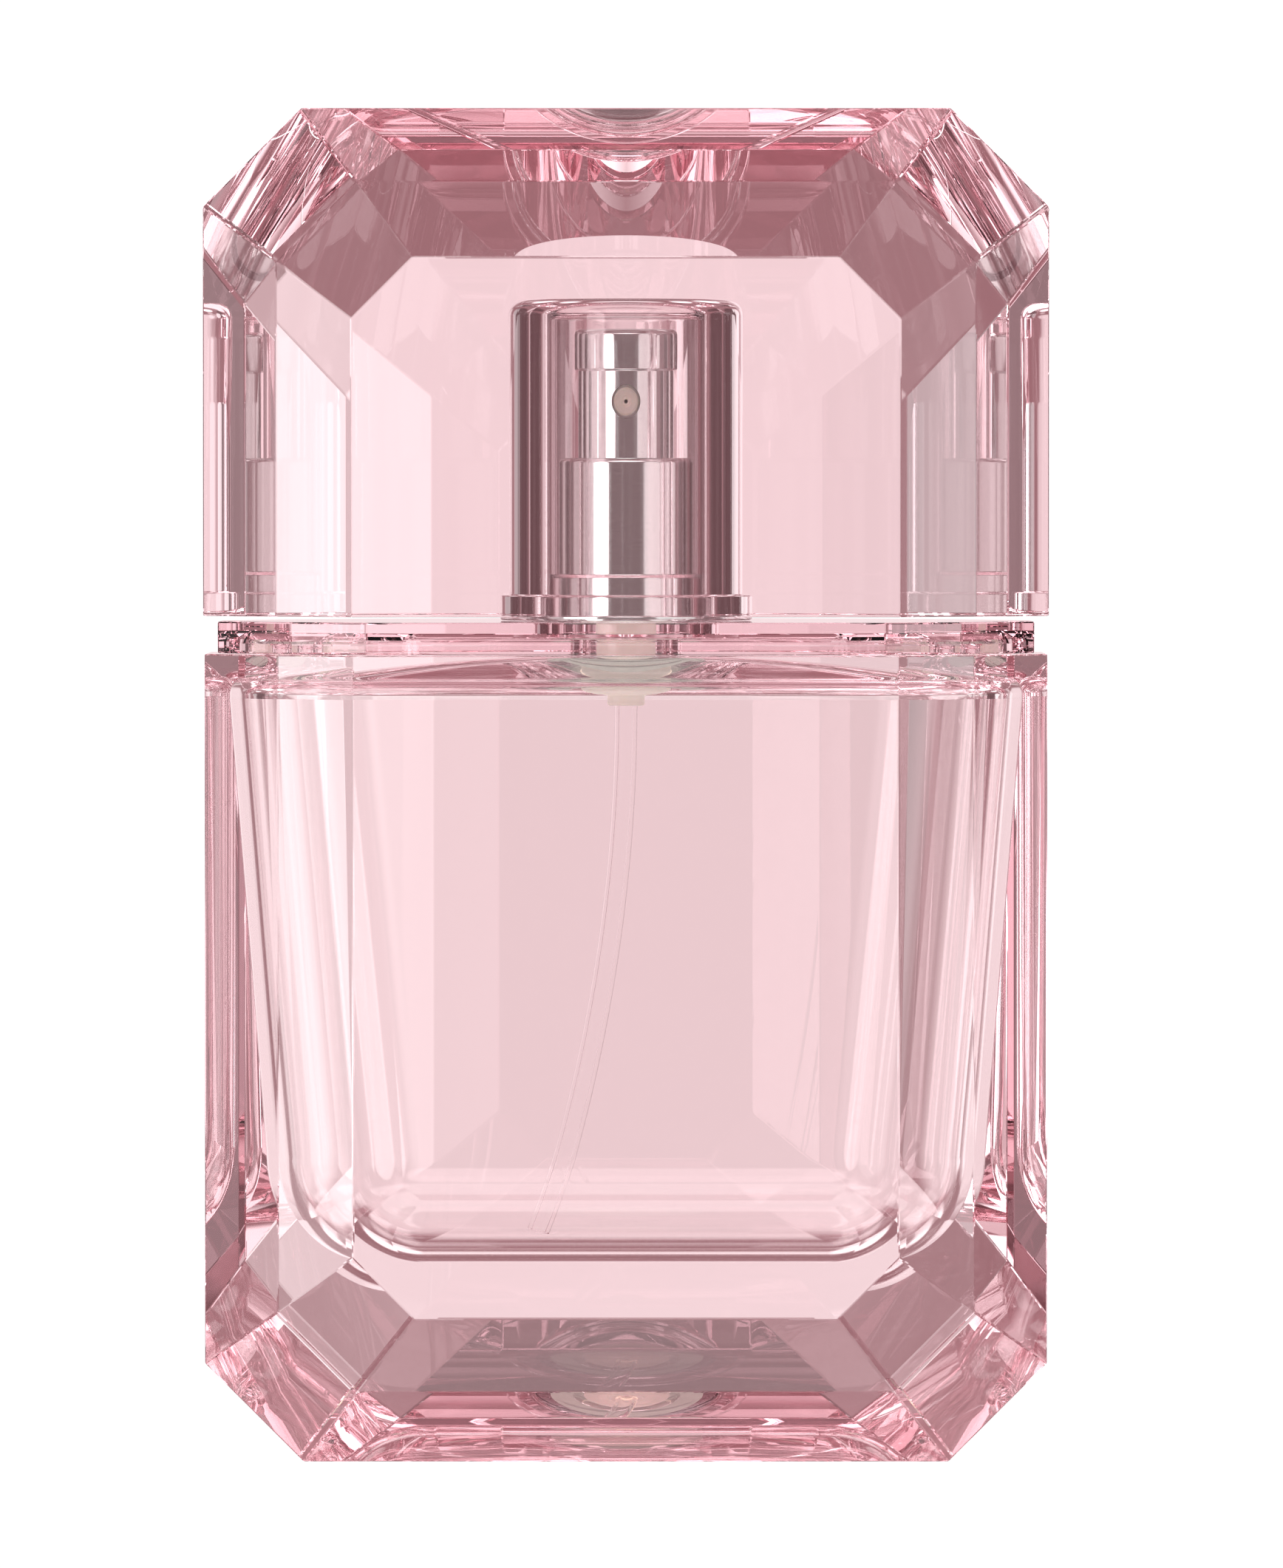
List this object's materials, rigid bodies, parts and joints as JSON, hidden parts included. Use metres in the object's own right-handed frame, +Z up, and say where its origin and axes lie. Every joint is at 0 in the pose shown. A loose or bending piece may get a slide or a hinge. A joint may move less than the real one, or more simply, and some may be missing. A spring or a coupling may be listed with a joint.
{
  "type": "spray perfume bottle",
  "caption": "Step-cut pink glass spray bottle with a matching faceted lift-off cap and a polished crimped mist pump inside.",
  "frame": {"origin": "middle of the bottle's base, under the middle of its overall box", "axes": "+Z up through the pump and the cap, -Y out of the front with the wide table and the nozzle, +X to the right seen from the front"},
  "size_m": [0.06, 0.0314, 0.0961],
  "materials": {
    "pink_glass": "pink flint glass, fire polished, sharp step-cut facets",
    "perfume": "thin clear liquid with a faint blush tint",
    "rose_acrylic": "clear rose acrylic plate, polished edges",
    "pink_acrylic": "solid pink acrylic, polished facets",
    "clear_acrylic": "clear moulded liner",
    "clear_tube": "clear extruded tube",
    "polished_aluminium": "drawn and polished, bright anodised",
    "crimped_aluminium": "satin, crimped",
    "cream_plastic": "moulded, fine satin",
    "white_plastic": "moulded, fine satin",
    "white_seal": "soft moulded gasket",
    "dark_seal": "soft moulded ring",
    "ball_steel": "ground and polished stainless steel ball",
    "spring_steel": "drawn stainless wire"
  },
  "bodies": {
    "bottle": {"glass_bottle": "pink_glass", "perfume_liquid": "perfume", "shoulder_plate": "rose_acrylic", "neck_gasket": "white_seal", "crimp_ferrule": "crimped_aluminium", "ferrule_collar": "polished_aluminium", "pump_housing": "cream_plastic", "pump_turret": "white_plastic", "stem_seal": "dark_seal", "dip_tube": "clear_tube", "return_spring": "spring_steel"},
    "ball": {"inlet_ball": "ball_steel"},
    "plunger": {"pump_stem": "white_plastic", "pump_piston": "white_plastic", "piston_pin": "white_plastic"},
    "actuator": {"actuator_shell": "polished_aluminium", "actuator_core": "white_plastic", "nozzle_insert": "cream_plastic"},
    "cap": {"cap_shell": "pink_acrylic", "cap_liner": "clear_acrylic"}
  },
  "joints": [
    {"name": "pump_press", "type": "slide", "parent": "bottle", "child": "plunger", "axis": [0, 0, -1], "range_m": [0, 0.0035], "stiffness_N_per_m": 1800, "springref_m": -0.0025, "deforming": ["return_spring"]},
    {"name": "actuator_spin", "type": "hinge", "parent": "plunger", "child": "actuator", "pos_m": [0, 0, 0.0755], "axis": [0, 0, 1], "continuous": true},
    {"name": "inlet_ball_lift", "type": "slide", "parent": "bottle", "child": "ball", "axis": [0, 0, 1], "range_m": [0, 0.0005]},
    {"name": "cap_lift", "type": "slide", "parent": "bottle", "child": "cap", "axis": [0, 0, 1], "range_m": [0, 0.04]}
  ]
}
